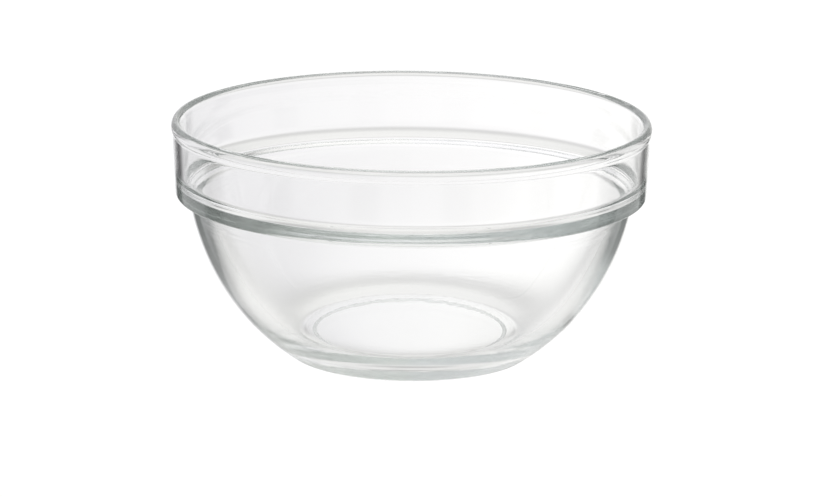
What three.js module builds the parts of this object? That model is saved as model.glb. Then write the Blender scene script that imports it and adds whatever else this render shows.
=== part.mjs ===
// A stacking bowl pressed in one piece from clear glass.
// It is a surface of revolution: the half section runs from the axis along the underside of the foot,
// up the outside to the rim, and back down the inside to the axis.
// Units are millimetres. The origin is the centre of the foot on the table and +Z is up.

import * as THREE from "three";

// Overall
const RIM_DIAMETER = 140;
const HEIGHT = 70;

// Rim: a rounded crown with a slight bead on the outside
const RIM_WALL = 2.9;
const CROWN_RISE = 2.3;
const BEAD_OVERHANG = 0.45;
const BEAD_DEPTH = 2;

// Band: the upright collar between the rim and the stacking shoulder
const BAND_HEIGHT = 22.3;
const BAND_DRAFT = 2.9;
const BAND_CORNER = 0.9;

// Stacking shoulder: the step under the band that rests on the rim of the bowl below
const SHOULDER_WIDTH = 3.7;
const SHOULDER_FILLET = 1.45;

// Body: angles are from the vertical, and a pull is how far the curve follows its end's direction
const BODY_TOP_ANGLE = 10.9;
const BODY_TOP_PULL = 20;
const BODY_HEEL_ANGLE = 55.4;
const BODY_HEEL_PULL = 18.4;

// Foot: a flat ring round a shallow recess
const FOOT_RADIUS = 33;
const HEEL_RADIUS = 5;
const RECESS_RADIUS = 28.2;
const RECESS_DEPTH = 1.2;
const RECESS_FILLET = 0.6;

// Inside: the band's inner wall, a smooth step behind the shoulder, the body wall and the thick floor.
// The step's reaches are from the shoulder, up to where it leaves the band and down to where it meets the body.
const INSIDE_DRAFT = 3;
const STEP_REACH_UP = 7.5;
const STEP_REACH_DOWN = 1;
const STEP_TOP_PULL = 4.3;
const STEP_END_PULL = 3.4;
const BODY_WALL = 3.25;
const INSIDE_TOP_ANGLE = 14.8;
const INSIDE_TOP_PULL = 22.3;
const FLOOR_THICKNESS = 6.1;
const FLOOR_RADIUS = 29.2;
const FLOOR_PULL = 11.8;

// Facets
const SEGMENTS = 72;
const CHORD_ERROR = 0.05;
const SAME_POINT = 0.001;

const radians = THREE.MathUtils.degToRad;

// A point of the half section: distance from the axis, then height.
function at(radius, height) {
  return new THREE.Vector2(radius, height);
}

// The point reached from a start by going a distance down a slope that leans inwards by an angle.
function downSlope(start, angle, distance) {
  const lean = radians(angle);
  return at(start.x - distance * Math.sin(lean), start.y - distance * Math.cos(lean));
}

// Goes towards a corner of the section and rounds it off, ready to go on towards the next point.
// The radius is limited by the two straight stretches that it joins.
function roundCorner(path, corner, next, radius) {
  const back = path.currentPoint.clone().sub(corner);
  const ahead = next.clone().sub(corner);
  const half = back.angleTo(ahead) / 2;
  const setback = Math.min(radius / Math.tan(half), back.length(), ahead.length());
  const fitted = setback * Math.tan(half);
  const start = corner.clone().addScaledVector(back.normalize(), setback);
  const end = corner.clone().addScaledVector(ahead.normalize(), setback);
  const middle = back.add(ahead).normalize();
  const centre = corner.clone().addScaledVector(middle, fitted / Math.sin(half));
  const clockwise = start.clone().sub(centre).cross(end.clone().sub(centre)) < 0;
  const startAngle = start.clone().sub(centre).angle();
  const endAngle = end.clone().sub(centre).angle();
  path.lineTo(start.x, start.y);
  path.absarc(centre.x, centre.y, fitted, startAngle, endAngle, clockwise);
}

function curveTo(path, pullFrom, pullTo, end) {
  path.bezierCurveTo(pullFrom.x, pullFrom.y, pullTo.x, pullTo.y, end.x, end.y);
}

// How many straight facets keep a curve of the section within the chord error.
function facetCount(curve) {
  const samples = 12;
  let turn = 0;
  for (let i = 0; i < samples; i += 1) {
    turn += curve.getTangent(i / samples).angleTo(curve.getTangent((i + 1) / samples));
  }
  if (turn < CHORD_ERROR) return 1;
  const radius = Math.max(curve.getLength() / turn, CHORD_ERROR);
  return Math.ceil(turn / (2 * Math.acos(1 - CHORD_ERROR / radius)));
}

const rimRadius = RIM_DIAMETER / 2;
const crownBase = HEIGHT - CROWN_RISE;
const shoulderHeight = HEIGHT - BAND_HEIGHT;
const bandTop = at(rimRadius - BEAD_OVERHANG, crownBase - BEAD_DEPTH);
const bandTaper = Math.tan(radians(BAND_DRAFT));
const bandCorner = at(bandTop.x - (bandTop.y - shoulderHeight) * bandTaper, shoulderHeight);
const bodyTop = at(bandCorner.x - SHOULDER_WIDTH, shoulderHeight);

// The underside: recess, foot ring and rounded heel.
function addFoot(section) {
  const recessEdge = at(RECESS_RADIUS, RECESS_DEPTH);
  const footEdge = at(RECESS_RADIUS + RECESS_DEPTH, 0);
  const footRim = at(FOOT_RADIUS, 0);
  section.moveTo(0, RECESS_DEPTH);
  roundCorner(section, recessEdge, footEdge, RECESS_FILLET);
  roundCorner(section, footEdge, footRim, RECESS_FILLET);
  section.lineTo(footRim.x, footRim.y);
  section.absarc(footRim.x, HEEL_RADIUS, HEEL_RADIUS, -Math.PI / 2, -radians(BODY_HEEL_ANGLE), false);
}

// The outside: the swelling body, the stacking shoulder and the tapered band.
function addOutside(section) {
  const heel = section.currentPoint.clone();
  const heelPull = downSlope(heel, BODY_HEEL_ANGLE, -BODY_HEEL_PULL);
  const topSetback = SHOULDER_FILLET * Math.tan(radians(90 - BODY_TOP_ANGLE) / 2);
  const bodyEnd = downSlope(bodyTop, BODY_TOP_ANGLE, topSetback);
  curveTo(section, heelPull, downSlope(bodyEnd, BODY_TOP_ANGLE, BODY_TOP_PULL), bodyEnd);
  roundCorner(section, bodyTop, bandCorner, SHOULDER_FILLET);
  roundCorner(section, bandCorner, bandTop, BAND_CORNER);
  section.lineTo(bandTop.x, bandTop.y);
}

// The rim: the bead swells out of the band, and an elliptical crown turns over to the inside.
function addRim(section) {
  const widest = at(rimRadius, crownBase);
  const halfDepth = BEAD_DEPTH / 2;
  curveTo(section, at(bandTop.x, bandTop.y + halfDepth), at(rimRadius, crownBase - halfDepth), widest);
  const half = RIM_WALL / 2;
  const middle = rimRadius - half;
  section.absellipse(middle, crownBase, half, CROWN_RISE, 0, Math.PI / 2, false);
  section.absellipse(middle, crownBase, half, CROWN_RISE, Math.PI / 2, Math.PI, false);
}

// The inside: the band's inner wall, the smooth step, the body wall and the floor.
// The body's wall is measured level with the shoulder, on the line in which the wall leaves the step.
function addInside(section) {
  const stepTop = at(section.currentPoint.x, shoulderHeight + STEP_REACH_UP);
  stepTop.x -= (crownBase - stepTop.y) * Math.tan(radians(INSIDE_DRAFT));
  const stepEnd = at(bodyTop.x - BODY_WALL, shoulderHeight - STEP_REACH_DOWN);
  stepEnd.x -= STEP_REACH_DOWN * Math.tan(radians(INSIDE_TOP_ANGLE));
  const stepPull = downSlope(stepTop, INSIDE_DRAFT, STEP_TOP_PULL);
  const floorPull = at(FLOOR_RADIUS + FLOOR_PULL, FLOOR_THICKNESS);
  section.lineTo(stepTop.x, stepTop.y);
  curveTo(section, stepPull, downSlope(stepEnd, INSIDE_TOP_ANGLE, -STEP_END_PULL), stepEnd);
  const wallPull = downSlope(stepEnd, INSIDE_TOP_ANGLE, INSIDE_TOP_PULL);
  curveTo(section, wallPull, floorPull, at(FLOOR_RADIUS, FLOOR_THICKNESS));
  section.lineTo(0, FLOOR_THICKNESS);
}

// The half section as points, each curve cut into as many facets as it needs.
function sectionPoints() {
  const section = new THREE.Path();
  addFoot(section);
  addOutside(section);
  addRim(section);
  addInside(section);
  const points = section.curves.flatMap((curve) => curve.getPoints(facetCount(curve)));
  return points.filter((point, i) => i === 0 || point.distanceTo(points[i - 1]) > SAME_POINT);
}

const glass = new THREE.MeshStandardMaterial({
  name: "clear_glass",
  color: 0xf2f7f4,
  roughness: 0.03,
  metalness: 0,
  transparent: true,
  opacity: 0.35,
});

const bowl = new THREE.Mesh(new THREE.LatheGeometry(sectionPoints(), SEGMENTS), glass);
bowl.name = "glass_bowl";
bowl.rotation.x = Math.PI / 2;

const stackingBowl = new THREE.Group();
stackingBowl.name = "stacking_bowl";
stackingBowl.add(bowl);

export default stackingBowl;
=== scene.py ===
import math

import bpy
from mathutils import Matrix, Vector


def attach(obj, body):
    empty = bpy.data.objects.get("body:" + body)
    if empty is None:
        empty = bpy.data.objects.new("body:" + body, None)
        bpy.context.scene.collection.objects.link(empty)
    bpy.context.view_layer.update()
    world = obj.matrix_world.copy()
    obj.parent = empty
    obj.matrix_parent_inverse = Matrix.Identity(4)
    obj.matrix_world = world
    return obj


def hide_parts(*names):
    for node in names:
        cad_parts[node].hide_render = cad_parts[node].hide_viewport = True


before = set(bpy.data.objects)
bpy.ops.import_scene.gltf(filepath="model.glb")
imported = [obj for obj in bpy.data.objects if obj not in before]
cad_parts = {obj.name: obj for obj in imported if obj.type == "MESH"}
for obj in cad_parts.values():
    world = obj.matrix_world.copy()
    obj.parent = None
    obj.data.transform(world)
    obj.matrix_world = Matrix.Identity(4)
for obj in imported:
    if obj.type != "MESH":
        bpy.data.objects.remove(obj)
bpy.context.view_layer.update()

# Sizes of the bowl's half section in millimetres and degrees, as in the CAD part
RIM_DIAMETER = 140
HEIGHT = 70
RIM_WALL = 2.9
CROWN_RISE = 2.3
BEAD_OVERHANG = 0.45
BEAD_DEPTH = 2
BAND_HEIGHT = 22.3
BAND_DRAFT = 2.9
BAND_CORNER = 0.9
SHOULDER_WIDTH = 3.7
SHOULDER_FILLET = 1.45
BODY_TOP_ANGLE = 10.9
BODY_TOP_PULL = 20
BODY_HEEL_ANGLE = 55.4
BODY_HEEL_PULL = 18.4
FOOT_RADIUS = 33
HEEL_RADIUS = 5
RECESS_RADIUS = 28.2
RECESS_DEPTH = 1.2
RECESS_FILLET = 0.6
INSIDE_DRAFT = 3
STEP_REACH_UP = 7.5
STEP_REACH_DOWN = 1
STEP_TOP_PULL = 4.3
STEP_END_PULL = 3.4
BODY_WALL = 3.25
INSIDE_TOP_ANGLE = 14.8
INSIDE_TOP_PULL = 22.3
FLOOR_THICKNESS = 6.1
FLOOR_RADIUS = 29.2
FLOOR_PULL = 11.8

# Fineness of the visual model in millimetres, with the step of an arc in radians
SEGMENTS = 720
STEP_LENGTH = 0.5
TURN_STEP = math.radians(4)
SAME_POINT = 1e-4

# Clear glass, with a tint that grows with the thickness
GLASS_IOR = 1.52
GLASS_ROUGHNESS = 0.012
TINT = (0.81, 0.832, 0.822, 1)
TINT_DENSITY = 20

# Pressing lines: fine rings in the glass that come and go on their way round it
LINES_PER_MM = 0.9
LINE_CHANGES = 4
LINE_DETAIL = 2
LINE_RELIEF = 0.2
LINE_POLISHED_TO_ROUGH = (0.35, 0.75)
FAINT_LINES = 0.015
CLEAR_LINES = 0.12

# Where the lines pass from faint to clear, as spans of height, of distance or of radius in millimetres
RIM_FAINT_TO_CLEAR = (HEIGHT - 4.5, HEIGHT - 2.5)
SHOULDER_LINES = HEIGHT - BAND_HEIGHT - 1.2
SHOULDER_CLEAR_TO_FAINT = (3, 6)
HEEL_CLEAR_TO_FAINT = (6, 11)
HEEL_FAINT_TO_CLEAR = (29, 32)

# Ground of the room that the glass shows, as light levels and the spans of degrees between them
GROUND_BELOW = 0.85
GROUND_BELOW_TO_NEAR = (-80, -62)
GROUND_NEAR = 0.55
GROUND_NEAR_TO_BEYOND = (-56, -42)
GROUND_BEYOND = 0.92
GROUND_BEYOND_TO_FAR = (-32, -26)
GROUND_FAR = 0.74
GROUND_BACK_TO_FRONT = (80, 130)
GROUND_FRONT = 0.82

# Walls of the room: light panels with dark gaps between them, where the panel at the back is the backdrop
LEFT_TO_RIGHT = (-6, 6)
BACKDROP_LEFT = 0.9
BACKDROP_RIGHT = 1.12
BACKDROP_TO_PANELS = (21, 24)
PANEL_LEVEL = 0.82
PANEL_SPACING = 45
PANEL_TO_GAP = (12, 18.5)
GAP_LEFT = 0.1
GAP_LEFT_TO_RIGHT = (-20, 20)
GAP_RIGHT = 0.16
GAP_BACK_TO_FRONT = (80, 120)
GAP_FRONT = 0.4
GROUND_TO_PANEL = (-26, -20)
GROUND_TO_GAP = (-30, -13)

# Ceiling of the room: bright at the back and overhead, dim to the right and in front
WALL_TO_CORNICE = (-13, -6)
CORNICE = 0.85
CORNICE_TO_CEILING = (-2, 8)
CEILING_BACK = 1
CEILING_BACK_TO_RIGHT = (0, 48)
CEILING_RIGHT = 0.52
CEILING_RIGHT_TO_FRONT = (62, 98)
CEILING_FRONT_RIGHT = 0.32
CEILING_FRONT_TO_LEFT = (-132, -100)
CEILING_FRONT_LEFT = 0.42
CEILING_TO_OVERHEAD = (24, 64)
OVERHEAD = 1.1
BACKDROP_TO_CEILING = (0, 15)
BACKDROP_TO_BESIDE = (8, 22)

# Hues of the room: a little cooler on the left, a little warmer on the right and on the ground
LEFT_HUE = (1, 0.992, 1.01, 1)
RIGHT_HUE = (1, 0.996, 0.985, 1)
GROUND_HUE = (1, 0.996, 0.982, 1)
GROUND_TO_UPPER_HUE = (-30, -20)

# White floor and backdrop that the camera sees, in millimetres
SWEEP_DROP = 0.2
SWEEP_FLAT = 1500
SWEEP_BEND = 1500
SWEEP_TOP = 6000
SWEEP_STEPS = 16
SWEEP_SEGMENTS = 96
SWEEP_GLOW = 1.05

# Camera of the photo, in millimetres and degrees
CAMERA_PITCH = 13.699
CAMERA_ROLL = 0.63025
CAMERA_DISTANCE = 1500
CAMERA_AIM = (2.057, 0, 31.104)
CAMERA_LENS = 220.9
CAMERA_SENSOR = 36
CAMERA_REACH = 100000

# Light in thick glass is thrown back many times before it leaves
BOUNCES = 64

# The Mix node's colour sockets share their names with its other sockets, so they go by number
MIX_COLOUR_A = 6
MIX_COLOUR_B = 7
MIX_COLOUR_RESULT = 2

# A millimetre in metres, a metre in millimetres, and plain white
MM = 0.001
METRE = 1000
WHITE = (1, 1, 1, 1)


def at(radius, height):
    return Vector((radius, height))


def down_slope(start, angle, distance):
    lean = math.radians(angle)
    return start - distance * at(math.sin(lean), math.cos(lean))


class Section:
    """A half section as a growing list of points."""

    def __init__(self, start):
        self.points = [start]

    @property
    def last(self):
        return self.points[-1]

    def add(self, point):
        if (point - self.last).length > SAME_POINT:
            self.points.append(point)

    def line(self, end):
        start = self.last
        count = max(1, math.ceil((end - start).length / STEP_LENGTH))
        for i in range(1, count + 1):
            self.add(start.lerp(end, i / count))

    def arc(self, centre, across, up, start, end):
        turn = end - start
        count = max(2, math.ceil(abs(turn) / TURN_STEP))
        for i in range(count + 1):
            angle = start + turn * i / count
            self.add(centre + at(across * math.cos(angle), up * math.sin(angle)))

    def corner(self, corner, ahead_point, radius):
        """Goes to a corner and rounds it off, as far as the lines on both sides have room."""
        back = self.last - corner
        ahead = ahead_point - corner
        half = back.angle(ahead) / 2
        setback = min(radius / math.tan(half), back.length, ahead.length)
        fitted = setback * math.tan(half)
        start = corner + setback * back.normalized()
        end = corner + setback * ahead.normalized()
        middle = (back.normalized() + ahead.normalized()).normalized()
        centre = corner + middle * (fitted / math.sin(half))
        first = math.atan2(start.y - centre.y, start.x - centre.x)
        last = math.atan2(end.y - centre.y, end.x - centre.x)
        turn = (last - first + math.pi) % (2 * math.pi) - math.pi
        self.line(start)
        self.arc(centre, fitted, fitted, first, first + turn)

    def curve(self, pull_from, pull_to, end):
        """A cubic curve to the end, shaped by two pulls."""
        start = self.last
        count = math.ceil((end - start).length / STEP_LENGTH)
        for i in range(1, count + 1):
            t = i / count
            s = 1 - t
            self.add(s ** 3 * start + 3 * s * s * t * pull_from + 3 * s * t * t * pull_to + t ** 3 * end)


def bowl_section():
    """The half section from the axis under the foot, up the outside and down the inside to the axis."""
    rim_radius = RIM_DIAMETER / 2
    crown_base = HEIGHT - CROWN_RISE
    shoulder = HEIGHT - BAND_HEIGHT
    taper = math.tan(math.radians(BAND_DRAFT))
    band_top = at(rim_radius - BEAD_OVERHANG, crown_base - BEAD_DEPTH)
    band_corner = at(band_top.x - (band_top.y - shoulder) * taper, shoulder)
    body_top = at(band_corner.x - SHOULDER_WIDTH, shoulder)

    # Foot: recess, ring and heel
    section = Section(at(0, RECESS_DEPTH))
    foot_edge = at(RECESS_RADIUS + RECESS_DEPTH, 0)
    foot_rim = at(FOOT_RADIUS, 0)
    section.corner(at(RECESS_RADIUS, RECESS_DEPTH), foot_edge, RECESS_FILLET)
    section.corner(foot_edge, foot_rim, RECESS_FILLET)
    section.line(foot_rim)
    heel_end = -math.radians(BODY_HEEL_ANGLE)
    section.arc(at(FOOT_RADIUS, HEEL_RADIUS), HEEL_RADIUS, HEEL_RADIUS, -math.pi / 2, heel_end)

    # Outside: body, stacking shoulder and band
    heel_pull = down_slope(section.last, BODY_HEEL_ANGLE, -BODY_HEEL_PULL)
    setback = SHOULDER_FILLET * math.tan(math.radians(90 - BODY_TOP_ANGLE) / 2)
    body_end = down_slope(body_top, BODY_TOP_ANGLE, setback)
    section.curve(heel_pull, down_slope(body_end, BODY_TOP_ANGLE, BODY_TOP_PULL), body_end)
    section.corner(body_top, band_corner, SHOULDER_FILLET)
    section.corner(band_corner, band_top, BAND_CORNER)
    section.line(band_top)

    # Rim: bead and crown
    half_depth = at(0, BEAD_DEPTH / 2)
    widest = at(rim_radius, crown_base)
    section.curve(band_top + half_depth, widest - half_depth, widest)
    half_wall = RIM_WALL / 2
    crown = at(rim_radius - half_wall, crown_base)
    section.arc(crown, half_wall, CROWN_RISE, 0, math.pi / 2)
    section.arc(crown, half_wall, CROWN_RISE, math.pi / 2, math.pi)

    # Inside: band wall, smooth step, body wall and floor
    step_top = at(section.last.x, shoulder + STEP_REACH_UP)
    step_top.x -= (crown_base - step_top.y) * math.tan(math.radians(INSIDE_DRAFT))
    step_end = at(body_top.x - BODY_WALL, shoulder - STEP_REACH_DOWN)
    step_end.x -= STEP_REACH_DOWN * math.tan(math.radians(INSIDE_TOP_ANGLE))
    step_pull = down_slope(step_top, INSIDE_DRAFT, STEP_TOP_PULL)
    section.line(step_top)
    section.curve(step_pull, down_slope(step_end, INSIDE_TOP_ANGLE, -STEP_END_PULL), step_end)
    wall_pull = down_slope(step_end, INSIDE_TOP_ANGLE, INSIDE_TOP_PULL)
    floor_edge = at(FLOOR_RADIUS, FLOOR_THICKNESS)
    section.curve(wall_pull, floor_edge + at(FLOOR_PULL, 0), floor_edge)
    section.line(at(0, FLOOR_THICKNESS))
    return section.points


def turned(name, points, segments):
    """A surface of revolution of points in millimetres, where a point on the axis closes it with a fan."""
    verts, faces, rings = [], [], []
    for point in points:
        first = len(verts)
        count = segments if point.x > 0 else 1
        for i in range(count):
            angle = 2 * math.pi * i / segments
            verts.append((point.x * MM * math.cos(angle), point.x * MM * math.sin(angle), point.y * MM))
        rings.append([first + i % count for i in range(segments + 1)])
    for low, high in zip(rings, rings[1:]):
        for i in range(segments):
            corners = (low[i], low[i + 1], high[i + 1], high[i])
            faces.append(tuple(dict.fromkeys(corners)))
    mesh = bpy.data.meshes.new(name)
    mesh.from_pydata(verts, [], faces)
    mesh.polygons.foreach_set("use_smooth", [True] * len(mesh.polygons))
    obj = bpy.data.objects.new(name, mesh)
    bpy.context.scene.collection.objects.link(obj)
    return obj


class Nodes:
    """Short forms for building a node tree. Each input is a value or another node's output."""

    def __init__(self, owner):
        owner.use_nodes = True
        self.tree = owner.node_tree
        self.tree.nodes.clear()

    def make(self, kind, inputs=None, **settings):
        node = self.tree.nodes.new(kind)
        for key, value in settings.items():
            setattr(node, key, value)
        for key, value in (inputs or {}).items():
            if isinstance(value, bpy.types.NodeSocket):
                self.tree.links.new(value, node.inputs[key])
            else:
                node.inputs[key].default_value = value
        return node

    def math(self, operation, *values):
        return self.make("ShaderNodeMath", dict(enumerate(values)), operation=operation).outputs[0]

    def vector(self, operation, *values):
        return self.make("ShaderNodeVectorMath", dict(enumerate(values)), operation=operation).outputs[0]

    def fade(self, value, span, start, end):
        """Goes smoothly from start to end as the value goes through the span."""
        low, high = span
        inputs = {"Value": value, "From Min": low, "From Max": high, "To Min": start, "To Max": end}
        return self.make("ShaderNodeMapRange", inputs, interpolation_type="SMOOTHSTEP").outputs[0]

    def fade_colour(self, value, span, start, end):
        inputs = {"Factor": self.fade(value, span, 0, 1), MIX_COLOUR_A: start, MIX_COLOUR_B: end}
        return self.make("ShaderNodeMix", inputs, data_type="RGBA").outputs[MIX_COLOUR_RESULT]


def glass_material():
    material = bpy.data.materials.new("clear_glass")
    nodes = Nodes(material)

    # Place on the bowl in millimetres: height, radius and direction from the axis
    metres = nodes.make("ShaderNodeTexCoord").outputs["Object"]
    place = nodes.vector("MULTIPLY", metres, (METRE, METRE, METRE))
    height = nodes.make("ShaderNodeSeparateXYZ", {"Vector": place}).outputs["Z"]
    flat = nodes.vector("MULTIPLY", place, (1, 1, 0))
    radius = nodes.make("ShaderNodeVectorMath", {0: flat}, operation="LENGTH").outputs["Value"]
    around = nodes.vector("NORMALIZE", flat)

    # Pressing lines, counted by height and radius together so that they run round walls and floor alike
    across = nodes.make("ShaderNodeCombineXYZ", {"Z": nodes.math("ADD", height, radius)}).outputs[0]
    rings = nodes.vector("ADD", around, across)
    stretch = (LINE_CHANGES, LINE_CHANGES, LINES_PER_MM)
    drawn = nodes.make("ShaderNodeMapping", {"Vector": rings, "Scale": stretch}).outputs[0]
    noise = {"Vector": drawn, "Scale": 1, "Detail": LINE_DETAIL}
    lines = nodes.make("ShaderNodeTexNoise", noise).outputs["Fac"]
    roughness = nodes.fade(lines, LINE_POLISHED_TO_ROUGH, 0, GLASS_ROUGHNESS)

    # Their relief, clearest at the rim, the shoulder and the heel
    rim = nodes.fade(height, RIM_FAINT_TO_CLEAR, FAINT_LINES, CLEAR_LINES)
    from_shoulder = nodes.math("ABSOLUTE", nodes.math("SUBTRACT", height, SHOULDER_LINES))
    shoulder = nodes.fade(from_shoulder, SHOULDER_CLEAR_TO_FAINT, CLEAR_LINES, FAINT_LINES)
    heel = nodes.fade(height, HEEL_CLEAR_TO_FAINT, CLEAR_LINES, FAINT_LINES)
    heel = nodes.fade(radius, HEEL_FAINT_TO_CLEAR, FAINT_LINES, heel)
    strength = nodes.math("MAXIMUM", nodes.math("MAXIMUM", rim, shoulder), heel)
    relief = {"Strength": strength, "Distance": LINE_RELIEF * MM, "Height": lines}
    normal = nodes.make("ShaderNodeBump", relief).outputs[0]

    glass = {
        "Base Color": WHITE,
        "Roughness": roughness,
        "IOR": GLASS_IOR,
        "Transmission Weight": 1,
        "Normal": normal,
    }
    surface = nodes.make("ShaderNodeBsdfPrincipled", glass).outputs[0]
    volume = nodes.make("ShaderNodeVolumeAbsorption", {"Color": TINT, "Density": TINT_DENSITY}).outputs[0]
    nodes.make("ShaderNodeOutputMaterial", {"Surface": surface, "Volume": volume})
    return material


class Room:
    """The room that the glass shows, as nodes that give its light by direction.

    Directions are fixed in the room, in degrees. The azimuth turns from the back, +Y, to the right, +X, the
    aside is the same to both sides, up to the front, -Y, and the height is above the horizon.
    """

    def __init__(self, nodes):
        self.nodes = nodes
        direction = nodes.make("ShaderNodeTexCoord").outputs["Generated"]
        axes = nodes.make("ShaderNodeSeparateXYZ", {"Vector": direction}).outputs
        self.azimuth = nodes.math("DEGREES", nodes.math("ARCTAN2", axes["X"], axes["Y"]))
        self.aside = nodes.math("ABSOLUTE", self.azimuth)
        self.height = nodes.math("DEGREES", nodes.math("ARCSINE", axes["Z"]))
        self.backdrop = nodes.fade(self.azimuth, LEFT_TO_RIGHT, BACKDROP_LEFT, BACKDROP_RIGHT)

    def ground(self):
        fade = self.nodes.fade
        level = fade(self.height, GROUND_NEAR_TO_BEYOND, GROUND_NEAR, GROUND_BEYOND)
        level = fade(self.height, GROUND_BEYOND_TO_FAR, level, GROUND_FAR)
        level = fade(self.height, GROUND_BELOW_TO_NEAR, GROUND_BELOW, level)
        return fade(self.aside, GROUND_BACK_TO_FRONT, level, GROUND_FRONT)

    def walls(self):
        fade = self.nodes.fade
        ground = self.ground()
        panel = fade(self.aside, BACKDROP_TO_PANELS, self.backdrop, PANEL_LEVEL)
        panel = fade(self.height, GROUND_TO_PANEL, ground, panel)
        gap = fade(self.azimuth, GAP_LEFT_TO_RIGHT, GAP_LEFT, GAP_RIGHT)
        gap = fade(self.aside, GAP_BACK_TO_FRONT, gap, GAP_FRONT)
        gap = fade(self.height, GROUND_TO_GAP, ground, gap)
        from_panel = self.nodes.math("PINGPONG", self.azimuth, PANEL_SPACING / 2)
        return fade(from_panel, PANEL_TO_GAP, panel, gap)

    def ceiling(self):
        fade = self.nodes.fade
        level = fade(self.azimuth, CEILING_BACK_TO_RIGHT, CEILING_BACK, CEILING_RIGHT)
        level = fade(self.azimuth, CEILING_RIGHT_TO_FRONT, level, CEILING_FRONT_RIGHT)
        level = fade(self.azimuth, CEILING_FRONT_TO_LEFT, CEILING_FRONT_LEFT, level)
        level = fade(self.height, CEILING_TO_OVERHEAD, level, OVERHEAD)
        level = fade(self.height, CORNICE_TO_CEILING, CORNICE, level)
        behind = fade(self.height, BACKDROP_TO_CEILING, self.backdrop, level)
        return fade(self.aside, BACKDROP_TO_BESIDE, behind, level)

    def level(self):
        return self.nodes.fade(self.height, WALL_TO_CORNICE, self.walls(), self.ceiling())

    def hue(self):
        upper = self.nodes.fade_colour(self.azimuth, LEFT_TO_RIGHT, LEFT_HUE, RIGHT_HUE)
        return self.nodes.fade_colour(self.height, GROUND_TO_UPPER_HUE, GROUND_HUE, upper)


def studio_world():
    world = bpy.data.worlds.new("studio")
    bpy.context.scene.world = world
    nodes = Nodes(world)
    room = Room(nodes)
    glow = nodes.make("ShaderNodeBackground", {"Color": room.hue(), "Strength": room.level()})
    nodes.make("ShaderNodeOutputWorld", {"Surface": glow.outputs[0]})


def studio_sweep():
    """A round white floor that bends up into a backdrop. Only the camera sees it, and the glass doesn't."""
    points = [at(0, -SWEEP_DROP), at(SWEEP_FLAT, -SWEEP_DROP)]
    for i in range(1, SWEEP_STEPS + 1):
        angle = math.pi / 2 * i / SWEEP_STEPS
        rise = SWEEP_BEND * (1 - math.cos(angle))
        points.append(at(SWEEP_FLAT + SWEEP_BEND * math.sin(angle), rise - SWEEP_DROP))
    points.append(at(SWEEP_FLAT + SWEEP_BEND, SWEEP_TOP))
    sweep = turned("studio_sweep", points, SWEEP_SEGMENTS)
    material = bpy.data.materials.new("paper_white")
    nodes = Nodes(material)
    glow = nodes.make("ShaderNodeEmission", {"Color": WHITE, "Strength": SWEEP_GLOW})
    nodes.make("ShaderNodeOutputMaterial", {"Surface": glow.outputs[0]})
    sweep.data.materials.append(material)
    sweep.visible_glossy = False
    sweep.visible_transmission = False
    sweep.visible_diffuse = False
    sweep.visible_shadow = False
    return sweep


def photo_camera():
    pitch = math.radians(CAMERA_PITCH)
    roll = math.radians(CAMERA_ROLL)
    forward = Vector((0, math.cos(pitch), -math.sin(pitch)))
    level = Vector((1, 0, 0))
    upright = level.cross(forward)
    right = math.cos(roll) * level + math.sin(roll) * upright
    up = math.cos(roll) * upright - math.sin(roll) * level
    camera = bpy.data.cameras.new("photo_camera")
    camera.sensor_fit = "HORIZONTAL"
    camera.sensor_width = CAMERA_SENSOR
    camera.lens = CAMERA_LENS
    camera.clip_end = CAMERA_REACH * MM
    obj = bpy.data.objects.new("photo_camera", camera)
    bpy.context.scene.collection.objects.link(obj)
    place = Matrix((right, up, -forward)).transposed().to_4x4()
    place.translation = (Vector(CAMERA_AIM) - CAMERA_DISTANCE * forward) * MM
    obj.matrix_world = place
    bpy.context.scene.camera = obj


bowl = turned("glass_bowl_visual", bowl_section(), SEGMENTS)
bowl.data.materials.append(glass_material())
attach(bowl, "root")
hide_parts("glass_bowl")

studio_world()
studio_sweep()
photo_camera()

scene = bpy.context.scene
scene.view_settings.view_transform = "Standard"
scene.cycles.use_denoising = True
scene.cycles.max_bounces = BOUNCES
scene.cycles.transmission_bounces = BOUNCES
scene.cycles.glossy_bounces = BOUNCES
